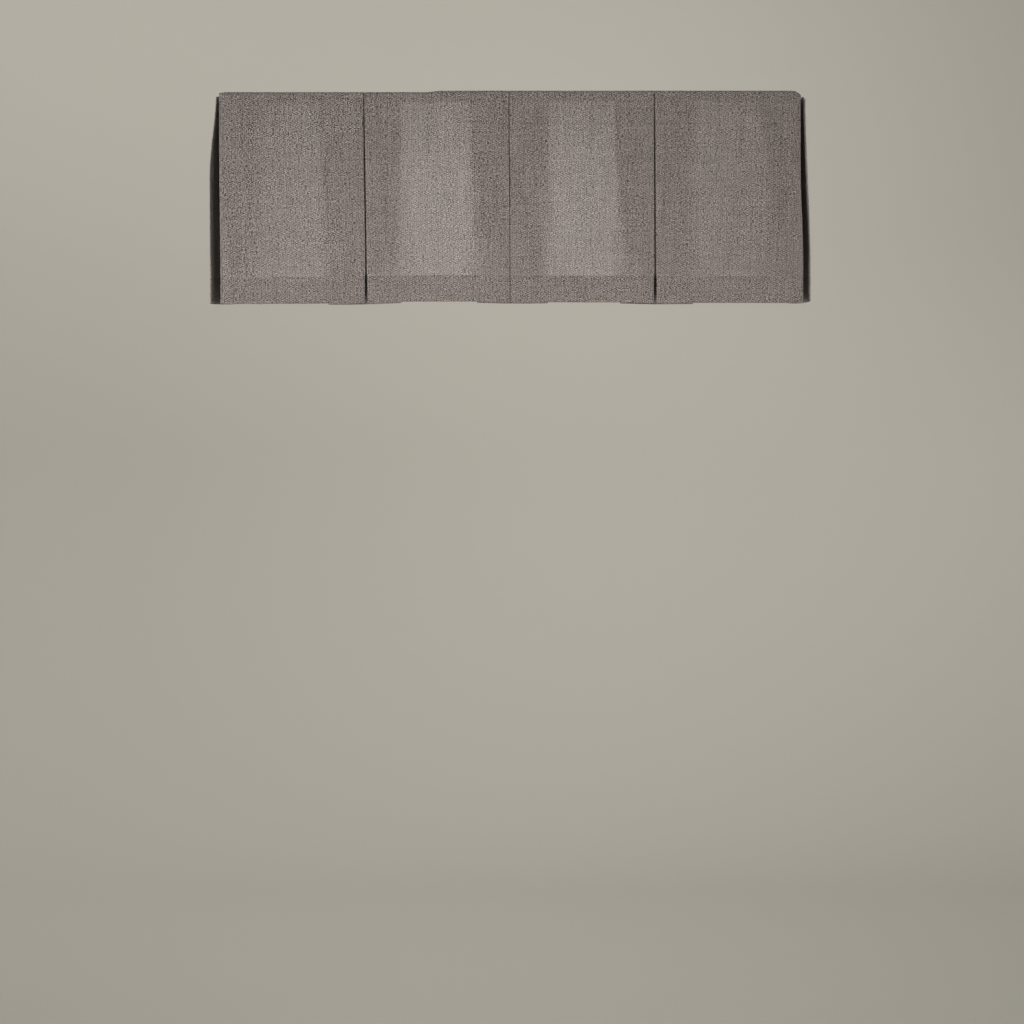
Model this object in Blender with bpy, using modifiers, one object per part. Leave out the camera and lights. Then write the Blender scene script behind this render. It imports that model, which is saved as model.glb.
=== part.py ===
"""A tailored window valance in a slubby basket-weave cloth, as it hangs from its heading.

One continuous strip of cloth makes the whole skirt. From the wall it runs forward as the left
return, round a pleat at the corner, across four flat panels with an inverted box pleat between
each two, round the right corner's pleat and back to the wall. A double hem is turned up behind.

Metres, +Z up, the front towards -Y and the wall towards +Y. The origin is the middle of the
top edge, on the plane where the heading lies against the front of its mounting board.
"""

import math
from collections import namedtuple

import bpy

# Driving dimensions
BOARD_WIDTH = 1.118  # the board that the heading wraps, which is not part of the model
RETURN_DEPTH = 0.089
DROP = 0.406
CLOTH = 0.0014
HEM_CLOTH = 0.0022  # the cloth with its hem turned up behind it
HEM_HEIGHT = 0.051
LAYER_GAP = 0.0005
BOARD_THICKNESS = 0.019
PLEAT_FOLD = 0.077  # from a pleat's meeting line to its inner folds, at the heading
PLEAT_FOLD_HEM = 0.068  # the same at the hem, where the pleat has relaxed
CORNER_FOLD = 0.070
FOLD_SET_BACK = 0.009  # how far the inner folds stand behind the panels, at the hem
FOLD_ROLL = 0.0075  # the inner folds are crisp at the heading and roll this wide at the hem
CORNER_BEND = 0.0036  # the underlay's rounding at the board's corner
CORNER_BEND_HEM = 0.034
CORNER_SET_BACK = 0.020

HEM_TOP = DROP - HEM_HEIGHT
HEM_BULK_FROM = HEM_TOP - 0.060  # where a pleat's outer folds start to round out for the hem
HEM_BULK_OVER = 0.055
STACK = 3 * CLOTH + 2 * LAYER_GAP  # the three layers of a pleat at the heading
FRONT_FACE = -STACK
RETURN_FACE = BOARD_WIDTH / 2 + STACK
RETURN_FRONT = FRONT_FACE + CLOTH  # the returns' front folds stand just behind the front

# Where two panels meet over a pleat: the place of the meeting line, how far it has drifted
# sideways at the hem, how far the two fold edges stand apart on the way down, and how far to
# the right of the middle the pleat's inner folds lie, at the heading and at the hem.
Pleat = namedtuple("Pleat", "seam drift gap_top gap_middle gap_low gap_hem lean_top lean_hem")
PLEATS = (
    Pleat(-0.2820, 0.0048, 0.0014, 0.0028, 0.0022, 0.0044, -0.0065, -0.0040),
    Pleat(-0.0031, 0.0015, 0.0011, 0.0013, 0.0010, 0.0010, 0, 0.0040),
    Pleat(0.2758, 0.0011, 0.0011, 0.0024, 0.0028, 0.0044, 0, 0.0040),
)

# How far down each change in a gap starts, and how long it takes.
GAP_MIDDLE_OVER = 0.070
GAP_LOW_FROM = 0.170
GAP_LOW_OVER = 0.120
GAP_HEM_FROM = HEM_TOP - 0.008
GAP_HEM_OVER = 0.016

# Each panel's belly, in (+) or out (-) from a straight line, and how much further down than
# the nominal drop its hem hangs.
Panel = namedtuple("Panel", "belly_top belly_hem hem_down")
PANELS = (
    Panel(0.0003, -0.0025, 0.0025),
    Panel(0.0004, 0.0030, -0.0024),
    Panel(0.0004, 0.0022, -0.0008),
    Panel(0.0003, -0.0020, 0.0006),
)

# The two ends: the front's fold edge and its drift to the right, how far the return flares out,
# and over which part of the drop either happens. Then how far the return's front fold has drawn
# back at the hem, how far its inner fold stands off there, and the heading's sag at the corner.
End = namedtuple("End", "side edge drift drift_from drift_over flare flare_from flare_over"
                        " retreat set_back sag sag_round")
ENDS = (
    End(-1, 0.5588, 0.0026, 0.040, 0.366, 0.0136, -0.020, 0.180, 0.006, 0.009, 0.004, 0.006),
    End(1, 0.5557, 0.0046, 0.140, 0.180, 0.0132, -0.030, 0.400, 0.016, 0.004, 0.011, 0.018),
)
WALL_FLARE = 0.25  # the share of a return's flare that its wall edge takes
WALL_SAG = 0.4  # the share of a corner's sag that is left at the wall
RETURN_LIFT = 0.010  # how much higher a return's hem is at the wall than at the corner
LIFT_FROM = 0.460  # the hem starts to rise this far from the middle
LIFT_OVER = 0.040

# The heading steps down a little, left of the middle.
HEADING_STEP = 0.0028
STEP_AT = -0.148
STEP_OVER = 0.032

ROW_DEPTHS = (0, 0.012, 0.045, 0.095, 0.150, 0.210, 0.270, 0.325, 0.351, 0.356, 0.380, 0.406)
CLOTH_COLOUR = (0.235, 0.203, 0.187, 1)


def ease(share):
    """A smooth step from 0 to 1."""
    share = min(max(share, 0), 1)
    return share * share * (3 - 2 * share)


def below_board(depth):
    """0 where the board holds the cloth flat, growing to 1 at the hem."""
    return ease((depth - BOARD_THICKNESS) / (DROP - BOARD_THICKNESS))


def fold_radius(depth):
    """The face-side radius of an outer fold, which holds the hem's thickness low down."""
    bulk = ease((depth - HEM_BULK_FROM) / HEM_BULK_OVER)
    return CLOTH + (HEM_CLOTH - CLOTH) * bulk + LAYER_GAP / 2


def gap_at(pleat, depth):
    """How far apart a pleat's two fold edges are. The gap opens where the hem begins."""
    gap = pleat.gap_top + (pleat.gap_middle - pleat.gap_top) * ease(depth / GAP_MIDDLE_OVER)
    gap += (pleat.gap_low - pleat.gap_middle) * ease((depth - GAP_LOW_FROM) / GAP_LOW_OVER)
    return gap + (pleat.gap_hem - pleat.gap_low) * ease((depth - GAP_HEM_FROM) / GAP_HEM_OVER)


def between(start, end, steps, bow=0.0):
    """The points between start and end, eased in Y, with a bow in Y towards the middle."""
    points = []
    for i in range(1, steps):
        share = i / steps
        x = start[0] + (end[0] - start[0]) * share
        y = start[1] + (end[1] - start[1]) * ease(share) + bow * math.sin(math.pi * share) ** 2
        points.append((x, y))
    return points


def arc(centre, radius, start, end, steps):
    """The points of an arc from one angle to another, in degrees, with both ends."""
    points = []
    for i in range(steps + 1):
        angle = math.radians(start + (end - start) * i / steps)
        points.append((centre[0] + radius * math.cos(angle), centre[1] + radius * math.sin(angle)))
    return points


def around(start, corner, end, radius, steps):
    """The points between start and end of a path with a rounded corner."""
    towards_start = math.dist(corner, start)
    towards_end = math.dist(corner, end)
    enter = [c + (s - c) * radius / towards_start for c, s in zip(corner, start)]
    leave = [c + (e - c) * radius / towards_end for c, e in zip(corner, end)]
    points = between(start, enter, 3)
    for i in range(steps + 1):
        t = i / steps
        weights = ((1 - t) ** 2, 2 * t * (1 - t), t ** 2)
        points.append(tuple(sum(w * p[k] for w, p in zip(weights, (enter, corner, leave))) for k in (0, 1)))
    return points + between(leave, end, 3)


def path_length(points):
    return sum(math.dist(a, b) for a, b in zip(points, points[1:]))


def folded_edge(half_gap, fold, depth, set_back):
    """A panel's edge turned back behind it, as (along, behind) from the pleat's meeting line.

    It goes round the outer fold, back behind the panel and round the inner fold, and ends
    where the underlay begins.
    """
    free = below_board(depth)
    outer = fold_radius(depth)
    inner = LAYER_GAP / 2 + (FOLD_ROLL - LAYER_GAP / 2) * free
    edge = half_gap + outer
    turn = half_gap + fold - CLOTH - inner
    behind = 2 * outer + set_back * free + inner
    outer_fold = arc((edge, outer), outer, -90, -270, 4)
    inner_fold = arc((turn, behind), inner, -90, 90, 4)
    return outer_fold + between(outer_fold[-1], inner_fold[0], 4) + inner_fold


def meeting_line(pleat, depth):
    return pleat.seam + pleat.drift * ease(depth / DROP)


def pleat_section(pleat, depth):
    """An inverted box pleat's face side, from its left fold edge to its right one."""
    seam = meeting_line(pleat, depth)
    free = below_board(depth)
    fold = PLEAT_FOLD + (PLEAT_FOLD_HEM - PLEAT_FOLD) * free
    lean = pleat.lean_top + (pleat.lean_hem - pleat.lean_top) * free
    half_gap = gap_at(pleat, depth) / 2
    left = [
        (seam - along, FRONT_FACE + behind)
        for along, behind in folded_edge(half_gap, fold - lean, depth, FOLD_SET_BACK)
    ]
    right = [
        (seam + along, FRONT_FACE + behind)
        for along, behind in reversed(folded_edge(half_gap, fold + lean, depth, FOLD_SET_BACK))
    ]
    span = right[0][0] - left[-1][0]
    spare = max(4 * PLEAT_FOLD - path_length(left) - path_length(right) - span, 0)
    bow = 2 * math.sqrt(spare * span) / math.pi  # which keeps the length of the cloth
    return left + between(left[-1], right[0], 10, bow) + right


def corner_section(end, depth):
    """A corner's face side as on the left: the return from the wall forward, then its pleat."""
    free = below_board(depth)
    flare = end.flare * ease((depth - end.flare_from) / end.flare_over)
    return_front = RETURN_FRONT + end.retreat * free
    lean = math.atan2((1 - WALL_FLARE) * flare, RETURN_DEPTH - return_front)
    return_length = math.hypot((1 - WALL_FLARE) * flare, RETURN_DEPTH - return_front)
    front_edge = -end.edge - end.side * end.drift * ease((depth - end.drift_from) / end.drift_over)
    set_back = CORNER_SET_BACK * free
    corner = (-BOARD_WIDTH / 2 - CLOTH + set_back, -CLOTH + set_back)
    bend = CORNER_BEND + (CORNER_BEND_HEM - CORNER_BEND) * free

    def on_return(along, behind):
        x = -RETURN_FACE - flare + along * math.sin(lean) + behind * math.cos(lean)
        y = return_front + along * math.cos(lean) - behind * math.sin(lean)
        return x, y

    fold = CORNER_FOLD
    for _ in range(4):  # the fold takes up what keeps the length of the cloth
        first = [on_return(along, behind) for along, behind in folded_edge(0, fold, depth, end.set_back)]
        last = [
            (front_edge + along, FRONT_FACE + behind)
            for along, behind in reversed(folded_edge(0, fold, depth, FOLD_SET_BACK))
        ]
        pleat = first + around(first[-1], corner, last[0], bend, 7) + last
        fold += (4 * CORNER_FOLD - path_length(pleat)) / 4
    outer = fold_radius(depth)
    face = [on_return(outer + (return_length - outer) * share / 5, 0) for share in (5, 4, 3, 2, 1)]
    return face + pleat


def mirrored(points):
    """A left-hand section as the right-hand one, running on from left to right."""
    return [(-x, y) for x, y in reversed(points)]


def skirt_section(depth):
    """The whole skirt's face side in plan, from the left return's wall edge to the right's."""
    points = corner_section(ENDS[0], depth)
    folds = [pleat_section(pleat, depth) for pleat in PLEATS]
    folds.append(mirrored(corner_section(ENDS[1], depth)))
    for panel, fold in zip(PANELS, folds):
        belly = panel.belly_top + (panel.belly_hem - panel.belly_top) * ease(depth / DROP)
        points += between(points[-1], fold[0], 6, belly) + fold
    return points


def hem_down(x):
    """How much further than the nominal drop the hem hangs, eased from panel to panel."""
    edges = [-ENDS[0].edge] + [pleat.seam for pleat in PLEATS] + [ENDS[1].edge]
    middles = [(low + high) / 2 for low, high in zip(edges, edges[1:])]
    down = PANELS[0].hem_down
    for i in range(1, len(PANELS)):
        share = ease((x - middles[i - 1]) / (middles[i] - middles[i - 1]))
        down += (PANELS[i].hem_down - PANELS[i - 1].hem_down) * share
    return down


def heading(x, y):
    """The height of the top edge, which steps once and sags round each corner."""
    end = ENDS[0] if x < 0 else ENDS[1]
    into_corner = min(max(1 + (abs(x) - end.edge) / end.sag_round, 0), 1)
    sag = end.sag * (1 - math.sqrt(1 - into_corner ** 2))
    sag *= 1 - (1 - WALL_SAG) * ease(y / RETURN_DEPTH)
    return -sag - HEADING_STEP * (1 - ease((x - STEP_AT) / STEP_OVER + 0.5))


def height(x, y, depth):
    """The height of a point. The hem rises a little where the cloth swings in, and along a return."""
    swing = max(min(y - FRONT_FACE, RETURN_FACE - abs(x)), 0)
    hem = -DROP - hem_down(x) + swing ** 2 / (2 * DROP)
    hem += RETURN_LIFT * (y - FRONT_FACE) / RETURN_DEPTH * ease((abs(x) - LIFT_FROM) / LIFT_OVER)
    top = heading(x, y)
    return top + (hem - top) * depth / DROP


def loft_skirt(name, material):
    """Lofts the section down the drop, then gives the sheet its thickness behind its face."""
    vertices = []
    for depth in ROW_DEPTHS:
        vertices += [(x, y, height(x, y, depth)) for x, y in skirt_section(depth)]
    across = len(vertices) // len(ROW_DEPTHS)
    faces = []
    for row in range(len(ROW_DEPTHS) - 1):
        for corner in range(row * across, (row + 1) * across - 1):
            faces.append((corner, corner + across, corner + across + 1, corner + 1))
    mesh = bpy.data.meshes.new(name)
    mesh.from_pydata(vertices, [], faces)
    mesh.materials.append(material)
    skirt = bpy.data.objects.new(name, mesh)
    hem = skirt.vertex_groups.new(name="hem")
    hem_rows = [row for row, depth in enumerate(ROW_DEPTHS) if depth > HEM_TOP]
    hem.add(list(range(hem_rows[0] * across, len(vertices))), 1.0, "ADD")
    shell = skirt.modifiers.new("Thickness", "SOLIDIFY")
    shell.thickness = HEM_CLOTH
    shell.offset = -1
    shell.vertex_group = hem.name
    shell.thickness_vertex_group = CLOTH / HEM_CLOTH
    shell.use_even_offset = True
    shell.use_quality_normals = True
    return skirt


def cloth_material():
    material = bpy.data.materials.new("taupe_basket_weave")
    material.use_nodes = True
    shader = material.node_tree.nodes["Principled BSDF"]
    shader.inputs["Base Color"].default_value = CLOTH_COLOUR
    shader.inputs["Roughness"].default_value = 0.9
    shader.inputs["Metallic"].default_value = 0.0
    material.diffuse_color = CLOTH_COLOUR
    return material


def main():
    for obj in list(bpy.data.objects):
        bpy.data.objects.remove(obj)
    collection = bpy.data.collections.new("window_valance")
    bpy.context.scene.collection.children.link(collection)
    collection.objects.link(loft_skirt("pleated_skirt", cloth_material()))


main()
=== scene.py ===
import math
from collections import namedtuple

import bpy
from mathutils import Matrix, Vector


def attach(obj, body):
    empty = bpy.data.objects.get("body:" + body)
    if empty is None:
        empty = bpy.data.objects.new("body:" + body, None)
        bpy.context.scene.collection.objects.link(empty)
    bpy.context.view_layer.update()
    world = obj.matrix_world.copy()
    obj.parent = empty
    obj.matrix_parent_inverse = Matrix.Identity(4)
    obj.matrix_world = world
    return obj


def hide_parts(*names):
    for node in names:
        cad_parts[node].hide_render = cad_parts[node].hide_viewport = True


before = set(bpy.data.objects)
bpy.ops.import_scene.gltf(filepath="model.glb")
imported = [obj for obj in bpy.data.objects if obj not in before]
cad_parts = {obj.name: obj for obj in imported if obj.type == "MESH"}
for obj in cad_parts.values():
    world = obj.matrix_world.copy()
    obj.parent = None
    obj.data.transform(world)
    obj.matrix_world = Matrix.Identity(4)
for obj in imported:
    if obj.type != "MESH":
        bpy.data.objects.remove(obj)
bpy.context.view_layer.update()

scene = bpy.context.scene

# ---------------------------------------------------------------------------------------------
# The skirt: one strip of slubby taupe basket-weave cloth, pressed into inverted box pleats and
# pleated round both corners, with a double hem turned up behind. Its heading is wrapped round
# a board over the window, and below the board the pleats relax and open a little.
# ---------------------------------------------------------------------------------------------
BOARD_WIDTH = 1.118
BOARD_THICKNESS = 0.019
RETURN_DEPTH = 0.089
DROP = 0.406
HEM_HEIGHT = 0.051
HEM_TOP = DROP - HEM_HEIGHT
CLOTH = 0.0008
HEM_CLOTH = 0.0015  # the cloth with its hem turned up behind it
FOLD = 0.0013  # the face-side radius of a pressed fold, and of one that holds the hem's bulk
FOLD_HEM = 0.00165
RETURN_FOLD = 0.00085  # a return's front fold is pressed sharper
HEM_BULK_FROM = HEM_TOP - 0.060  # where a pleat's outer folds start to round out for the hem
HEM_BULK_OVER = 0.055
PACKED_LAYER = 0.0019  # a layer of the pleats at the heading, with the air beside it
STACK = 0.0052  # the room that a pleat's three layers take in front of the board
STEP_BACK = 0.0014  # how far the returns' front folds stand behind the front
FRONT_FACE = -STACK
RETURN_FACE = BOARD_WIDTH / 2 + STACK
RETURN_FRONT = FRONT_FACE + STEP_BACK

PLEAT_FOLD = 0.077  # from a pleat's meeting line to its inner folds, at the heading
PLEAT_FOLD_HEM = 0.068  # the same at the hem, where the pleat has relaxed
FOLD_INSET = 0.0014  # the inner folds' faces stay this far short, for the cloth behind them
CORNER_FOLD = 0.070
FOLD_SET_BACK = 0.009  # how far the inner folds stand behind the panels, at the hem
FOLD_ROLL = 0.0075  # the inner folds roll this wide at the hem and are crisp at the heading
FOLD_ROLL_TOP = 0.00025
CORNER_BEND = 0.0036  # the underlay's rounding at the board's corner
CORNER_BEND_HEM = 0.034
CORNER_SET_BACK = 0.005  # the board's front corners are rounded off
CORNER_SET_BACK_HEM = 0.0186

# Where two panels meet over a pleat: the place of the meeting line, how far it has drifted
# sideways at the hem, how far the two fold edges stand apart on the way down, and how far to
# the right of the middle the pleat's inner folds lie, at the heading and at the hem.
Pleat = namedtuple("Pleat", "seam drift gap_top gap_middle gap_low gap_hem lean_top lean_hem")
PLEATS = (
    Pleat(-0.2812, 0.0043, 0.0015, 0.0027, 0.0024, 0.0049, -0.0065, -0.0040),
    Pleat(-0.0031, 0.0022, 0.0013, 0.0013, 0.0008, 0.0010, 0, 0.0040),
    Pleat(0.2758, 0.0011, 0.0011, 0.0025, 0.0026, 0.0050, 0, 0.0040),
)
GAP_MIDDLE_OVER = 0.070  # how far down each change in a gap starts, and how long it takes
GAP_LOW_FROM = 0.170
GAP_LOW_OVER = 0.120
GAP_HEM_FROM = HEM_TOP - 0.008
GAP_HEM_OVER = 0.016

# Each panel's belly, in (+) or out (-) from a straight line, and how much further down than
# the nominal drop its hem hangs.
Panel = namedtuple("Panel", "belly_top belly_hem hem_down")
PANELS = (
    Panel(0.0003, -0.0025, 0.0025),
    Panel(0.0004, 0.0030, -0.0024),
    Panel(0.0004, 0.0022, -0.0008),
    Panel(0.0003, -0.0020, 0.0006),
)

# The two ends: the front's fold edge and its drift to the right, how far the return flares out,
# and over which part of the drop either happens. Then how far the return's front fold has drawn
# back at the hem, how far its inner fold stands off there, the heading's sag at the corner, and
# how far the return's lower tip curls up.
End = namedtuple("End", "side edge drift drift_from drift_over flare flare_from flare_over"
                        " retreat set_back sag sag_round tip_lift")
ENDS = (
    End(-1, 0.5588, 0.0026, 0.040, 0.366, 0.0136, -0.020, 0.180, 0.006, 0.009, 0.004, 0.006, 0),
    End(1, 0.5557, 0.0046, 0.140, 0.180, 0.0132, -0.030, 0.400, 0.016, 0.004, 0.011, 0.018, 0.005),
)
WALL_FLARE = 0.25  # the share of a return's flare that its wall edge takes
RETURN_SAG = 0.004  # how much lower a return's front fold starts than the edge of its panel
WALL_SAG = 0.4  # the share of a corner's sag that is left towards the wall
SAG_OVER = 0.020  # how far back the heading takes to come up again
HEADING_STEP = 0.0028  # the heading steps down a little, left of the middle
STEP_AT = -0.148
STEP_OVER = 0.032
RETURN_LIFT = 0.010  # how much higher a return's hem is at the wall than at the corner
LIFT_FROM = 0.460  # the hem starts to rise this far from the middle
LIFT_OVER = 0.040

# Soft creases in the panels, each a trough (+) or ridge (-) between two points of the front.
Crease = namedtuple("Crease", "x_top z_top x_low z_low width depth")
CREASES = (
    Crease(-0.470, -0.02, -0.462, -0.36, 0.016, 0.0007),
    Crease(-0.402, -0.01, -0.418, -0.33, 0.022, -0.0006),
    Crease(-0.335, -0.10, -0.345, -0.39, 0.013, 0.0006),
    Crease(-0.246, -0.02, -0.238, -0.37, 0.015, 0.0007),
    Crease(-0.141, -0.08, -0.116, -0.20, 0.009, 0.0007),
    Crease(-0.098, -0.01, -0.090, -0.36, 0.014, -0.0006),
    Crease(-0.058, -0.05, -0.062, -0.30, 0.012, 0.0005),
    Crease(0.062, -0.02, 0.050, -0.33, 0.012, 0.0006),
    Crease(0.118, -0.12, 0.132, -0.38, 0.018, -0.0006),
    Crease(0.196, -0.01, 0.204, -0.26, 0.012, 0.0007),
    Crease(0.336, -0.06, 0.330, -0.28, 0.014, 0.0006),
    Crease(0.387, 0.00, 0.362, -0.265, 0.019, -0.0052),
    Crease(0.436, -0.12, 0.404, -0.34, 0.013, -0.0030),
    Crease(0.473, 0.00, 0.506, -0.31, 0.020, -0.0062),
    Crease(0.340, -0.412, 0.455, -0.406, 0.007, -0.0030),
)
CREASE_FADE = 0.05  # the length over which a crease fades in or out at each end

# How finely the plan section is drawn: the points of a pressed fold, of a folded edge's leg, of
# a bend and its two legs, of a pleat's underlay, of a panel and of a return.
FOLD_STEPS = 8
LEG_STEPS = 10
BEND_STEPS = 10
BEND_LEG_STEPS = 7
UNDERLAY_STEPS = 26
PANEL_STEPS = 30
RETURN_STEPS = 14
LENGTH_PASSES = 4  # how often a corner's fold is corrected for the length of the cloth


def ease(share):
    """A smooth step from 0 to 1."""
    share = min(max(share, 0), 1)
    return share * share * (3 - 2 * share)


def below_board(depth):
    """0 where the board holds the cloth flat, growing to 1 at the hem."""
    return ease((depth - BOARD_THICKNESS) / (DROP - BOARD_THICKNESS))


def fold_radius(depth, pressed=FOLD):
    """The face-side radius of an outer fold, which holds the hem's thickness low down."""
    return pressed + (FOLD_HEM - pressed) * ease((depth - HEM_BULK_FROM) / HEM_BULK_OVER)


def gap_at(pleat, depth):
    """How far apart a pleat's two fold edges are. The outer gaps open where the hem begins."""
    gap = pleat.gap_top + (pleat.gap_middle - pleat.gap_top) * ease(depth / GAP_MIDDLE_OVER)
    gap += (pleat.gap_low - pleat.gap_middle) * ease((depth - GAP_LOW_FROM) / GAP_LOW_OVER)
    return gap + (pleat.gap_hem - pleat.gap_low) * ease((depth - GAP_HEM_FROM) / GAP_HEM_OVER)


def between(start, end, steps, bow=0.0):
    """The points between start and end, eased in Y, with a bow in Y towards the middle."""
    points = []
    for i in range(1, steps):
        share = i / steps
        x = start[0] + (end[0] - start[0]) * share
        y = start[1] + (end[1] - start[1]) * ease(share) + bow * math.sin(math.pi * share) ** 2
        points.append((x, y))
    return points


def arc(centre, radius, start, end, steps):
    """The points of an arc from one angle to another, in degrees, with both ends."""
    points = []
    for i in range(steps + 1):
        angle = math.radians(start + (end - start) * i / steps)
        points.append((centre[0] + radius * math.cos(angle), centre[1] + radius * math.sin(angle)))
    return points


def around(start, corner, end, radius):
    """The points between start and end of a path with a rounded corner."""
    towards_start = math.dist(corner, start)
    towards_end = math.dist(corner, end)
    enter = [c + (s - c) * radius / towards_start for c, s in zip(corner, start)]
    leave = [c + (e - c) * radius / towards_end for c, e in zip(corner, end)]
    points = between(start, enter, BEND_LEG_STEPS)
    bend = (enter, corner, leave)
    for i in range(BEND_STEPS + 1):
        t = i / BEND_STEPS
        weights = ((1 - t) ** 2, 2 * t * (1 - t), t ** 2)
        points.append(tuple(sum(w * p[k] for w, p in zip(weights, bend)) for k in (0, 1)))
    return points + between(leave, end, BEND_LEG_STEPS)


def path_lengths(points):
    """How far along a path each of its points is."""
    lengths = [0.0]
    for a, b in zip(points, points[1:]):
        lengths.append(lengths[-1] + math.dist(a, b))
    return lengths


def folded_edge(half_gap, fold, depth, set_back, outer):
    """A panel's edge turned back behind it, as (along, behind) from the pleat's meeting line.

    It goes round the outer fold, back behind the panel and round the inner fold, and ends
    where the underlay begins.
    """
    free = below_board(depth)
    inner = FOLD_ROLL_TOP + (FOLD_ROLL - FOLD_ROLL_TOP) * free
    edge = half_gap + outer
    turn = half_gap + fold - FOLD_INSET - inner
    behind = 2 * PACKED_LAYER - 2 * FOLD_ROLL_TOP + set_back * free + inner
    outer_fold = arc((edge, outer), outer, -90, -270, FOLD_STEPS)
    inner_fold = arc((turn, behind), inner, -90, 90, FOLD_STEPS)
    return outer_fold + between(outer_fold[-1], inner_fold[0], LEG_STEPS) + inner_fold


def pleat_section(pleat, depth):
    """An inverted box pleat's face side, from its left fold edge to its right one."""
    seam = pleat.seam + pleat.drift * ease(depth / DROP)
    free = below_board(depth)
    fold = PLEAT_FOLD + (PLEAT_FOLD_HEM - PLEAT_FOLD) * free
    lean = pleat.lean_top + (pleat.lean_hem - pleat.lean_top) * free
    half_gap = gap_at(pleat, depth) / 2
    outer = fold_radius(depth)
    left = folded_edge(half_gap, fold - lean, depth, FOLD_SET_BACK, outer)
    left = [(seam - along, FRONT_FACE + behind) for along, behind in left]
    right = folded_edge(half_gap, fold + lean, depth, FOLD_SET_BACK, outer)
    right = [(seam + along, FRONT_FACE + behind) for along, behind in reversed(right)]
    span = right[0][0] - left[-1][0]
    spare = max(4 * PLEAT_FOLD - path_lengths(left)[-1] - path_lengths(right)[-1] - span, 0)
    bow = 2 * math.sqrt(spare * span) / math.pi  # which keeps the length of the cloth
    return left + between(left[-1], right[0], UNDERLAY_STEPS, bow) + right


def corner_section(end, depth):
    """A corner's face side as on the left: the return from the wall forward, then its pleat."""
    free = below_board(depth)
    flare = end.flare * ease((depth - end.flare_from) / end.flare_over)
    return_front = RETURN_FRONT + end.retreat * free
    lean = math.atan2((1 - WALL_FLARE) * flare, RETURN_DEPTH - return_front)
    return_length = math.hypot((1 - WALL_FLARE) * flare, RETURN_DEPTH - return_front)
    drift = end.side * end.drift * ease((depth - end.drift_from) / end.drift_over)
    front_edge = -end.edge - drift
    set_back = CORNER_SET_BACK + (CORNER_SET_BACK_HEM - CORNER_SET_BACK) * free
    corner = (-BOARD_WIDTH / 2 + set_back, set_back)
    bend = CORNER_BEND + (CORNER_BEND_HEM - CORNER_BEND) * free

    def on_return(along, behind):
        """A place given along and behind the return, in plan."""
        x = -RETURN_FACE - flare + along * math.sin(lean) + behind * math.cos(lean)
        y = return_front + along * math.cos(lean) - behind * math.sin(lean)
        return x, y

    fold = CORNER_FOLD
    outer = fold_radius(depth, RETURN_FOLD)
    for _ in range(LENGTH_PASSES):  # the fold takes up what keeps the length of the cloth
        first = folded_edge(0, fold, depth, end.set_back, outer)
        first = [on_return(along, behind) for along, behind in first]
        last = folded_edge(0, fold, depth, FOLD_SET_BACK, fold_radius(depth))
        last = [(front_edge + along, FRONT_FACE + behind) for along, behind in reversed(last)]
        pleat = first + around(first[-1], corner, last[0], bend) + last
        fold += (4 * CORNER_FOLD - path_lengths(pleat)[-1]) / 4
    face = []
    for i in range(RETURN_STEPS):
        along = outer + (return_length - outer) * (RETURN_STEPS - i) / RETURN_STEPS
        face.append(on_return(along, 0))
    return face + pleat


def skirt_section(depth):
    """The skirt's face side in plan, left to right, and the places in it where panels begin."""
    points = corner_section(ENDS[0], depth)
    folds = [pleat_section(pleat, depth) for pleat in PLEATS]
    folds.append([(-x, y) for x, y in reversed(corner_section(ENDS[1], depth))])
    spans = []
    for panel, fold in zip(PANELS, folds):
        belly = panel.belly_top + (panel.belly_hem - panel.belly_top) * ease(depth / DROP)
        flat = between(points[-1], fold[0], PANEL_STEPS, belly)
        spans.append((len(points), len(points) + len(flat)))
        points += flat + fold
    return points, spans


def hem_down(x):
    """How much further than the nominal drop the hem hangs, eased from panel to panel."""
    edges = [-ENDS[0].edge] + [pleat.seam for pleat in PLEATS] + [ENDS[1].edge]
    middles = [(low + high) / 2 for low, high in zip(edges, edges[1:])]
    down = PANELS[0].hem_down
    for i in range(1, len(PANELS)):
        share = ease((x - middles[i - 1]) / (middles[i] - middles[i - 1]))
        down += (PANELS[i].hem_down - PANELS[i - 1].hem_down) * share
    return down


def heading(x, y):
    """The height of the top edge, which steps once and sags round each corner."""
    end = ENDS[0] if x < 0 else ENDS[1]
    into_corner = min(max(1 + (abs(x) - end.edge) / end.sag_round, 0), 1)
    sag = end.sag * (1 - math.sqrt(1 - into_corner ** 2))
    sag += RETURN_SAG * ease((abs(x) - end.edge) / (RETURN_FACE - end.edge))
    sag *= 1 - (1 - WALL_SAG) * ease(y / SAG_OVER)
    return -sag - HEADING_STEP * (1 - ease((x - STEP_AT) / STEP_OVER + 0.5))


def height(x, y, depth):
    """The height of a point.

    The hem rises a little where the cloth swings in behind the panels, and along a return.
    """
    swing = max(min(y - FRONT_FACE, RETURN_FACE - abs(x)), 0)
    hem = -DROP - hem_down(x) + swing ** 2 / (2 * DROP)
    hem += RETURN_LIFT * (y - FRONT_FACE) / RETURN_DEPTH * ease((abs(x) - LIFT_FROM) / LIFT_OVER)
    end = ENDS[0] if x < 0 else ENDS[1]
    panel_edge = end.edge + end.side * end.drift
    past_edge = (abs(x) - panel_edge) / (RETURN_FACE + end.flare - panel_edge)
    hem += end.tip_lift * max(past_edge, 0) ** 3
    top = heading(x, y)
    return top + (hem - top) * depth / DROP


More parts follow.
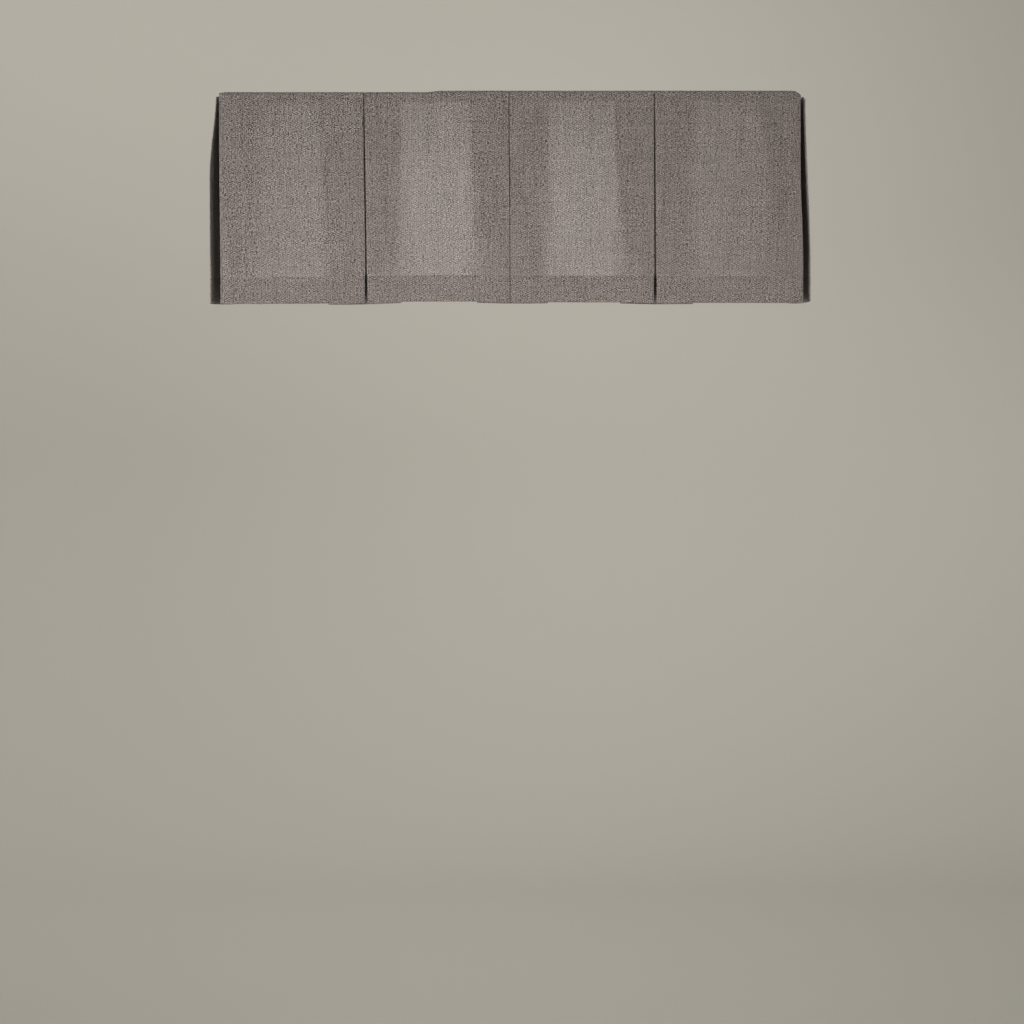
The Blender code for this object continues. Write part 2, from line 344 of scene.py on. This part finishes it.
def crease_relief(x, z):
    """How far back (+) or forward (-) the creases push a point of a panel."""
    relief = 0
    for crease in CREASES:
        run = (crease.x_low - crease.x_top, crease.z_low - crease.z_top)
        length = math.hypot(*run)
        along = ((x - crease.x_top) * run[0] + (z - crease.z_top) * run[1]) / length
        across = ((x - crease.x_top) * run[1] - (z - crease.z_top) * run[0]) / length
        fade = ease(along / CREASE_FADE) * ease((length - along) / CREASE_FADE)
        relief += crease.depth * fade * math.exp(-(across / crease.width) ** 2)
    return relief


# Rows every few millimetres, with two close together where the turned-up hem ends.
ROW_STEP = 0.0062
HEM_STEP = 0.0004
row_count = round(DROP / ROW_STEP)
rows = [DROP * i / row_count for i in range(row_count + 1)]
rows = [depth for depth in rows if abs(depth - HEM_TOP) > ROW_STEP / 3]
rows = sorted(rows + [HEM_TOP - HEM_STEP, HEM_TOP + HEM_STEP])

STRIP_LENGTH = path_lengths(skirt_section(0)[0])[-1]

# The strip's widths are joined out of sight, down the middle of each pleat's underlay, and the
# seam allowances there make the cloth three layers thick to the light. The band marked there, in
# the corners' pleats too, is also painted shade: it lets less light through, which darkens the
# gaps and corner openings in front of it.
SEAM_AND_SLIT_SHADE_REACH = 0.015

# The sheet is drawn as its face, with the flat place of each point kept for the weave.
vertices = []
flat_points = []  # the cloth's own coordinates in metres, along the strip and down the drop
in_seam_and_slit_shade = []
for depth in rows:
    section, spans = skirt_section(depth)
    lengths = path_lengths(section)
    flat_points += [(length / lengths[-1] * STRIP_LENGTH, depth) for length in lengths]
    panel_points = {i for start, stop in spans for i in range(start, stop)}
    pleat_starts = [RETURN_STEPS] + [stop for _, stop in spans]
    pleat_stops = [start for start, _ in spans] + [len(section) - RETURN_STEPS]
    underlay_middles = [lengths[(start + stop) // 2] for start, stop in zip(pleat_starts, pleat_stops)]
    for length in lengths:
        in_seam_and_slit_shade.append(float(min(abs(length - seam) for seam in underlay_middles) < SEAM_AND_SLIT_SHADE_REACH))
    for i, (x, y) in enumerate(section):
        z = height(x, y, depth)
        if i in panel_points:
            y += crease_relief(x, z)
        vertices.append((x, y, z))
across = len(section)
faces = []
for row in range(len(rows) - 1):
    for corner in range(row * across, (row + 1) * across - 1):
        faces.append((corner, corner + across, corner + across + 1, corner + 1))
mesh = bpy.data.meshes.new("pleated_skirt_cloth")
mesh.from_pydata(vertices, [], faces)
flat_cloth = mesh.uv_layers.new(name="flat_cloth")
for loop in mesh.loops:
    flat_cloth.data[loop.index].uv = flat_points[loop.vertex_index]
# the band down the middle of every pleat's underlay: partly seam allowances, partly painted shade
# for the gaps in front of it
mesh.attributes.new("seam_and_slit_shade", "FLOAT", "POINT").data.foreach_set("value", in_seam_and_slit_shade)
mesh.shade_smooth()
skirt = bpy.data.objects.new("pleated_skirt_cloth", mesh)
scene.collection.objects.link(skirt)

# The cloth's thickness lies behind its face, and is almost double below the hem's turned edge.
hem = skirt.vertex_groups.new(name="hem")
first_hem_row = next(i for i, depth in enumerate(rows) if depth > HEM_TOP)
hem.add(list(range(first_hem_row * across, len(vertices))), 1.0, "ADD")
shell = skirt.modifiers.new("Cloth thickness", "SOLIDIFY")
shell.thickness = HEM_CLOTH
shell.offset = -1
shell.vertex_group = hem.name
shell.thickness_vertex_group = CLOTH / HEM_CLOTH
shell.use_even_offset = True
shell.use_quality_normals = True


def linear(hex_colour):
    """An sRGB hex colour as linear RGBA."""
    channels = [int(hex_colour[i:i + 2], 16) / 255 for i in (1, 3, 5)]
    return [c / 12.92 if c <= 0.04045 else ((c + 0.055) / 1.055) ** 2.4 for c in channels] + [1]


def add_node(tree, kind, inputs=None, **settings):
    """Adds a node, sets its properties, and sets or links its inputs."""
    node = tree.nodes.new(kind)
    for name, value in settings.items():
        setattr(node, name, value)
    for socket, value in (inputs or {}).items():
        if isinstance(value, bpy.types.NodeSocket):
            tree.links.new(value, node.inputs[socket])
        else:
            node.inputs[socket].default_value = value
    return node


# Plain weave of heathered linen-look yarn: matte, soft at the edges, with light and dark fibres
# spun together, so that each place where a yarn comes to the front has a tone of its own.
# The real yarns are too fine to show one by one from across the room, so they are drawn
# coarser: a warp yarn of two plies every 4.2 mm, and a weft yarn every 2.1 mm.
WARP_PITCH = 0.0042
WEFT_PITCH = 0.0021
WOBBLE = 0.0015  # how far the yarns stray from straight lines, and over what length
WOBBLE_SIZE = 0.007
SLUB = 0.50  # how much a yarn's tone drifts as it runs thick and thin, and over what length
WARP_SLUB_LENGTH = 0.110
WEFT_SLUB_LENGTH = 0.045
YARN_STRIDE = 0.83  # the step from yarn to yarn in the noise that gives each its own tone
WARP_SEED = 0.0
WEFT_SEED = 57.3
FLECK = 0.15  # how much the tone varies at random, from ply to ply and from pick to pick
FLECK_SEED = 0.0
CHECKER_LEAST = -0.30  # how much lighter the warp on top is than the weft beside it
CHECKER_MOST = 1.05
CHECKER_SEED = 3.0
TWIST = 1.6  # the range of the difference between a warp yarn's two plies, at each crossing
TWIST_SEED = 9.0
PATCHES_TO_A_METRE = 9.0  # the dye takes a little unevenly
PATCH_DARKEST = 0.97
PATCH_LIGHTEST = 1.03
FULLNESS = 0.45  # the less, the fuller and flatter the yarns' tops
SUNKEN = -0.35  # between these heights of the bulge a yarn's shaded edge turns to its own tone
RAISED = 0.75
LIGHT_PLY_RELIEF = 0.35  # lighter plies stand out a little
YARN_RELIEF = 0.0005
YARN_DARK = linear("#312a29")
YARN_LIGHT = linear("#bdb2ad")
YARN_GAP = linear("#332d2b")

cloth = bpy.data.materials.new("linen_look_plain_weave")
cloth.use_nodes = True
tree = cloth.node_tree
tree.nodes.clear()
flat = add_node(tree, "ShaderNodeUVMap", uv_map="flat_cloth").outputs["UV"]
stray = add_node(tree, "ShaderNodeTexNoise",
                 {"Vector": flat, "Scale": 1 / WOBBLE_SIZE, "Detail": 1.0})
stray = add_node(tree, "ShaderNodeVectorMath", {0: stray.outputs["Color"], 1: (0.5, 0.5, 0.5)},
                 operation="SUBTRACT")
stray = add_node(tree, "ShaderNodeVectorMath", {0: stray.outputs[0], "Scale": 2 * WOBBLE},
                 operation="SCALE")
laid = add_node(tree, "ShaderNodeVectorMath", {0: flat, 1: stray.outputs[0]}, operation="ADD")
laid = add_node(tree, "ShaderNodeVectorMath",
                {0: laid.outputs[0], 1: (1 / WARP_PITCH, 1 / WEFT_PITCH, 0)}, operation="MULTIPLY")
count = add_node(tree, "ShaderNodeSeparateXYZ", {0: laid.outputs[0]})

# Warp and weft cross in a checkerboard: a yarn's roundness is a sine across and along it.
rounds = []
for axis in ("X", "Y"):
    turn = add_node(tree, "ShaderNodeMath", {0: count.outputs[axis], 1: math.pi},
                    operation="MULTIPLY")
    wave = add_node(tree, "ShaderNodeMath", {0: turn.outputs[0]}, operation="SINE")
    rounds.append(wave.outputs[0])
crossing = add_node(tree, "ShaderNodeMath", {0: rounds[0], 1: rounds[1]}, operation="MULTIPLY")
warp_on_top = add_node(tree, "ShaderNodeMath", {0: crossing.outputs[0], 1: 0.0},
                       operation="GREATER_THAN")
bulge = add_node(tree, "ShaderNodeMath", {0: crossing.outputs[0]}, operation="ABSOLUTE")
bulge = add_node(tree, "ShaderNodeMath", {0: bulge.outputs[0], 1: FULLNESS}, operation="POWER")

# Each yarn has its own tone, which drifts along it as the yarn runs thick and thin.
tones = []
whole = []
for axis in ("X", "Y"):
    number = add_node(tree, "ShaderNodeMath", {0: count.outputs[axis]}, operation="FLOOR")
    whole.append(number.outputs[0])
for yarn_number, along_yarn, slubs_per_crossing, seed in (
        (whole[0], count.outputs["Y"], WEFT_PITCH / WARP_SLUB_LENGTH, WARP_SEED),
        (whole[1], count.outputs["X"], WARP_PITCH / WEFT_SLUB_LENGTH, WEFT_SEED)):
    run = add_node(tree, "ShaderNodeMath", {0: along_yarn, 1: slubs_per_crossing},
                   operation="MULTIPLY")
    place = add_node(tree, "ShaderNodeCombineXYZ", {0: yarn_number, 1: run.outputs[0], 2: seed})
    tone = add_node(tree, "ShaderNodeTexNoise",
                    {"Vector": place.outputs[0], "Scale": YARN_STRIDE, "Detail": 2.0,
                     "Roughness": 0.6})
    tones.append(tone.outputs["Fac"])
tone = add_node(tree, "ShaderNodeMix",
                {"Factor": warp_on_top.outputs[0], 2: tones[1], 3: tones[0]}, data_type="FLOAT")
tone = add_node(tree, "ShaderNodeMapRange",
                {"Value": tone.outputs[0], "From Min": 0.25, "From Max": 0.75,
                 "To Min": 0.5 - FLECK / 2 - SLUB / 2, "To Max": 0.5 - FLECK / 2 + SLUB / 2},
                clamp=False)

# A warp yarn is two plies side by side. Tones vary from ply to ply and from pick to pick, in how
# light a warp yarn on top is against the weft, and between the two plies of one yarn.
ply = add_node(tree, "ShaderNodeMath", {0: count.outputs["X"], 1: 2.0}, operation="MULTIPLY")
ply = add_node(tree, "ShaderNodeMath", {0: ply.outputs[0]}, operation="FLOOR")
two_picks = add_node(tree, "ShaderNodeMath", {0: whole[1], 1: 0.5}, operation="MULTIPLY")
two_picks = add_node(tree, "ShaderNodeMath", {0: two_picks.outputs[0]}, operation="FLOOR")
chances = []
for column, pick, seed in ((ply.outputs[0], whole[1], FLECK_SEED),
                           (ply.outputs[0], two_picks.outputs[0], CHECKER_SEED),
                           (whole[0], whole[1], TWIST_SEED)):
    place = add_node(tree, "ShaderNodeCombineXYZ", {0: column, 1: pick, 2: seed})
    chance = add_node(tree, "ShaderNodeTexWhiteNoise", {"Vector": place.outputs[0]},
                      noise_dimensions="3D")
    chances.append(chance.outputs["Value"])
tone = add_node(tree, "ShaderNodeMath", {0: chances[0], 1: FLECK, 2: tone.outputs[0]},
                operation="MULTIPLY_ADD")
contrast = add_node(tree, "ShaderNodeMapRange",
                    {"Value": chances[1], "To Min": CHECKER_LEAST, "To Max": CHECKER_MOST})
side = add_node(tree, "ShaderNodeMath", {0: warp_on_top.outputs[0], 1: 0.5}, operation="SUBTRACT")
tone = add_node(tree, "ShaderNodeMath",
                {0: side.outputs[0], 1: contrast.outputs[0], 2: tone.outputs[0]},
                operation="MULTIPLY_ADD")
twist = add_node(tree, "ShaderNodeMapRange",
                 {"Value": chances[2], "To Min": -TWIST / 2, "To Max": TWIST / 2})
side = add_node(tree, "ShaderNodeMath", {0: ply.outputs[0], 1: 2.0}, operation="FLOORED_MODULO")
side = add_node(tree, "ShaderNodeMath", {0: side.outputs[0], 1: 0.5}, operation="SUBTRACT")
tone = add_node(tree, "ShaderNodeMath",
                {0: side.outputs[0], 1: twist.outputs[0], 2: tone.outputs[0]},
                operation="MULTIPLY_ADD", use_clamp=True)

# The yarn's colour goes from its tone, through its shaded edges, to the unevenness of the dye.
patch = add_node(tree, "ShaderNodeTexNoise",
                 {"Vector": flat, "Scale": PATCHES_TO_A_METRE, "Detail": 3.0, "Roughness": 0.55})
patch = add_node(tree, "ShaderNodeMapRange",
                 {"Value": patch.outputs["Fac"], "From Min": 0.3, "From Max": 0.7,
                  "To Min": PATCH_DARKEST, "To Max": PATCH_LIGHTEST})
yarn = add_node(tree, "ShaderNodeMix", {"Factor": tone.outputs[0], 6: YARN_DARK, 7: YARN_LIGHT},
                data_type="RGBA")
raised = add_node(tree, "ShaderNodeMapRange",
                  {"Value": bulge.outputs[0], "From Min": SUNKEN, "From Max": RAISED})
yarn = add_node(tree, "ShaderNodeMix",
                {"Factor": raised.outputs[0], 6: YARN_GAP, 7: yarn.outputs[2]}, data_type="RGBA")
yarn = add_node(tree, "ShaderNodeVectorMath", {0: yarn.outputs[2], "Scale": patch.outputs[0]},
                operation="SCALE")
relief = add_node(tree, "ShaderNodeMath",
                  {0: tone.outputs[0], 1: LIGHT_PLY_RELIEF, 2: bulge.outputs[0]},
                  operation="MULTIPLY_ADD")
bump = add_node(tree, "ShaderNodeBump",
                {"Height": relief.outputs[0], "Distance": YARN_RELIEF, "Strength": 0.7})

# Where the cloth is one layer it lets light through. The turned-up hem is more layers, so less
# gets through it. Less also gets through the band at the top, partly for the turned-down heading
# and partly as painted shade of the board behind it, which is not built. Less gets through down
# the middle of each pleat's underlay too, partly for the seam allowances and partly as painted
# shade in the gaps in front of it.
HEADING_AND_BOARD_SHADE_DEPTH = 0.019
EDGE_SOFTNESS = 0.0015
GLOW = linear("#c8c6c3")
LIGHT_THROUGH = 0.30
LIGHT_IN_HEM = 0.31  # of what one layer lets through
# partly the heading's layers, partly painted shade of the board behind, which is not built
LIGHT_IN_HEADING_AND_BOARD_SHADE = 0.25
# partly the seam allowances' layers, partly painted shade in the pleats' gaps and corner openings
LIGHT_IN_SEAM_AND_SLIT_SHADE = 0.25
down = add_node(tree, "ShaderNodeSeparateXYZ", {0: flat})
above_hem = add_node(tree, "ShaderNodeMapRange",
                     {"Value": down.outputs["Y"], "From Min": HEM_TOP - EDGE_SOFTNESS,
                      "From Max": HEM_TOP + EDGE_SOFTNESS, "To Min": 1.0, "To Max": LIGHT_IN_HEM})
# painted shade of the board: the top band, as deep as the board, lets less light through
below_heading_and_board_shade = add_node(tree, "ShaderNodeMapRange",
                         {"Value": down.outputs["Y"],
                          "From Min": HEADING_AND_BOARD_SHADE_DEPTH - 3 * EDGE_SOFTNESS,
                          "From Max": HEADING_AND_BOARD_SHADE_DEPTH + 3 * EDGE_SOFTNESS,
                          "To Min": LIGHT_IN_HEADING_AND_BOARD_SHADE})
# painted shade in the gaps and corner openings: less light through the middles of the underlays
# behind them, partly for the seam allowances
seam = add_node(tree, "ShaderNodeAttribute", attribute_name="seam_and_slit_shade")
off_seam_and_slit_shade = add_node(tree, "ShaderNodeMapRange",
                    {"Value": seam.outputs["Fac"], "To Min": 1.0, "To Max": LIGHT_IN_SEAM_AND_SLIT_SHADE})
let_through = add_node(tree, "ShaderNodeMath", {0: above_hem.outputs[0], 1: below_heading_and_board_shade.outputs[0]},
                  operation="MULTIPLY")
let_through = add_node(tree, "ShaderNodeMath", {0: let_through.outputs[0], 1: off_seam_and_slit_shade.outputs[0]},
                  operation="MULTIPLY")
glow = add_node(tree, "ShaderNodeMix", {"Factor": let_through.outputs[0], 6: (0, 0, 0, 1), 7: GLOW},
                data_type="RGBA")
surface = add_node(tree, "ShaderNodeBsdfPrincipled",
                   {"Base Color": yarn.outputs[0], "Roughness": 0.92, "Specular IOR Level": 0.25,
                    "Sheen Weight": 0.25, "Sheen Roughness": 0.6, "Normal": bump.outputs[0]})
behind = add_node(tree, "ShaderNodeBsdfTranslucent",
                  {"Color": glow.outputs[2], "Normal": bump.outputs[0]})
both = add_node(tree, "ShaderNodeMixShader",
                {0: LIGHT_THROUGH, 1: surface.outputs[0], 2: behind.outputs[0]})
add_node(tree, "ShaderNodeOutputMaterial", {"Surface": both.outputs[0]})
mesh.materials.append(cloth)

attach(skirt, "root")
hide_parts("pleated_skirt")

# ---------------------------------------------------------------------------------------------
# The studio: a pale seamless floor and backdrop, a large softbox low on the left, a weaker one
# low on the right, and daylight from where the window would be, behind the two middle panels.
# ---------------------------------------------------------------------------------------------
FLOOR_BELOW = 2.12
BACKDROP_BEHIND = 4.2
SWEEP_RADIUS = 1.6
SWEEP_STEPS = 16
STAGE_HALF_WIDTH = 7.0
STAGE_FRONT = -6.0
BACKDROP_TOP = 3.2

profile = [(STAGE_FRONT, -FLOOR_BELOW)]
for i in range(SWEEP_STEPS + 1):
    angle = math.radians(-90 + 90 * i / SWEEP_STEPS)
    profile.append((BACKDROP_BEHIND - SWEEP_RADIUS + SWEEP_RADIUS * math.cos(angle),
                    -FLOOR_BELOW + SWEEP_RADIUS + SWEEP_RADIUS * math.sin(angle)))
profile.append((BACKDROP_BEHIND, BACKDROP_TOP))
stage_points = [(side * STAGE_HALF_WIDTH, y, z) for y, z in profile for side in (-1, 1)]
stage_faces = [(2 * i, 2 * i + 1, 2 * i + 3, 2 * i + 2) for i in range(len(profile) - 1)]
sweep_mesh = bpy.data.meshes.new("pale_sweep")
sweep_mesh.from_pydata(stage_points, [], stage_faces)
sweep_mesh.shade_smooth()
sweep = bpy.data.objects.new("pale_sweep", sweep_mesh)
scene.collection.objects.link(sweep)

# Matte wall paint in a pale greige, with no gloss, so that the backdrop stays even and quiet.
paint = bpy.data.materials.new("matte_greige_paint")
paint.use_nodes = True
paint_shader = paint.node_tree.nodes["Principled BSDF"]
paint_shader.inputs["Base Color"].default_value = linear("#ccc9c1")
paint_shader.inputs["Roughness"].default_value = 0.9
sweep_mesh.materials.append(paint)

# Each light's place and aim in metres, its width and height, its power in watts, its colour and
# how widely it spreads in degrees.
Softbox = namedtuple("Softbox", "name place aim width height watts colour spread")
SOFTBOXES = (
    Softbox("key_left", (-2.1, -2.6, -1.1), (-0.10, 0, -0.76), 2.0, 1.6, 21.9, "#fffdfa", 60),
    Softbox("fill_right", (2.4, -2.8, -1.0), (0.10, 0, -0.98), 1.8, 1.6, 5.8, "#fffdfa", 50),
    Softbox("backdrop_wash", (-1.3, 1.2, 2.2), (-0.9, 4.2, -1.0), 6.0, 1.2, 82, "#fffdf8", 180),
    Softbox("window_daylight", (-0.0225, 0.14, -0.29), (-0.0225, 0, -0.29), 0.735, 0.46, 2.85,
            "#f4f8ff", 150),
)
for box in SOFTBOXES:
    data = bpy.data.lights.new(box.name, "AREA")
    data.shape = "RECTANGLE"
    data.size = box.width
    data.size_y = box.height
    data.energy = box.watts
    data.color = linear(box.colour)[:3]
    data.spread = math.radians(box.spread)
    light = bpy.data.objects.new(box.name, data)
    light.location = box.place
    aim = [a - p for a, p in zip(box.aim, box.place)]
    light.rotation_mode = "QUATERNION"
    light.rotation_quaternion = Vector(aim).to_track_quat("-Z", "Y")
    light.visible_camera = False
    scene.collection.objects.link(light)

# The room itself gives a little even light from all sides.
world = bpy.data.worlds.new("soft_room")
world.use_nodes = True
world.node_tree.nodes["Background"].inputs["Color"].default_value = linear("#dedcd6")
world.node_tree.nodes["Background"].inputs["Strength"].default_value = 0.32
scene.world = world
scene.view_settings.view_transform = "Standard"

# The camera looks straight on, from a little below the hem.
CAMERA_DISTANCE = 3.2
CAMERA_RIGHT = 0.0024
CAMERA_DOWN = 0.8069
VIEW_WIDTH = 1.961  # what the frame takes in at the front of the skirt
camera_data = bpy.data.cameras.new("camera")
camera_data.sensor_width = 36  # millimetres
camera_data.lens = camera_data.sensor_width * CAMERA_DISTANCE / VIEW_WIDTH
camera = bpy.data.objects.new("camera", camera_data)
camera.location = (CAMERA_RIGHT, FRONT_FACE - CAMERA_DISTANCE, -CAMERA_DOWN)
camera.rotation_euler = (math.radians(90), 0, 0)
scene.collection.objects.link(camera)
scene.camera = camera
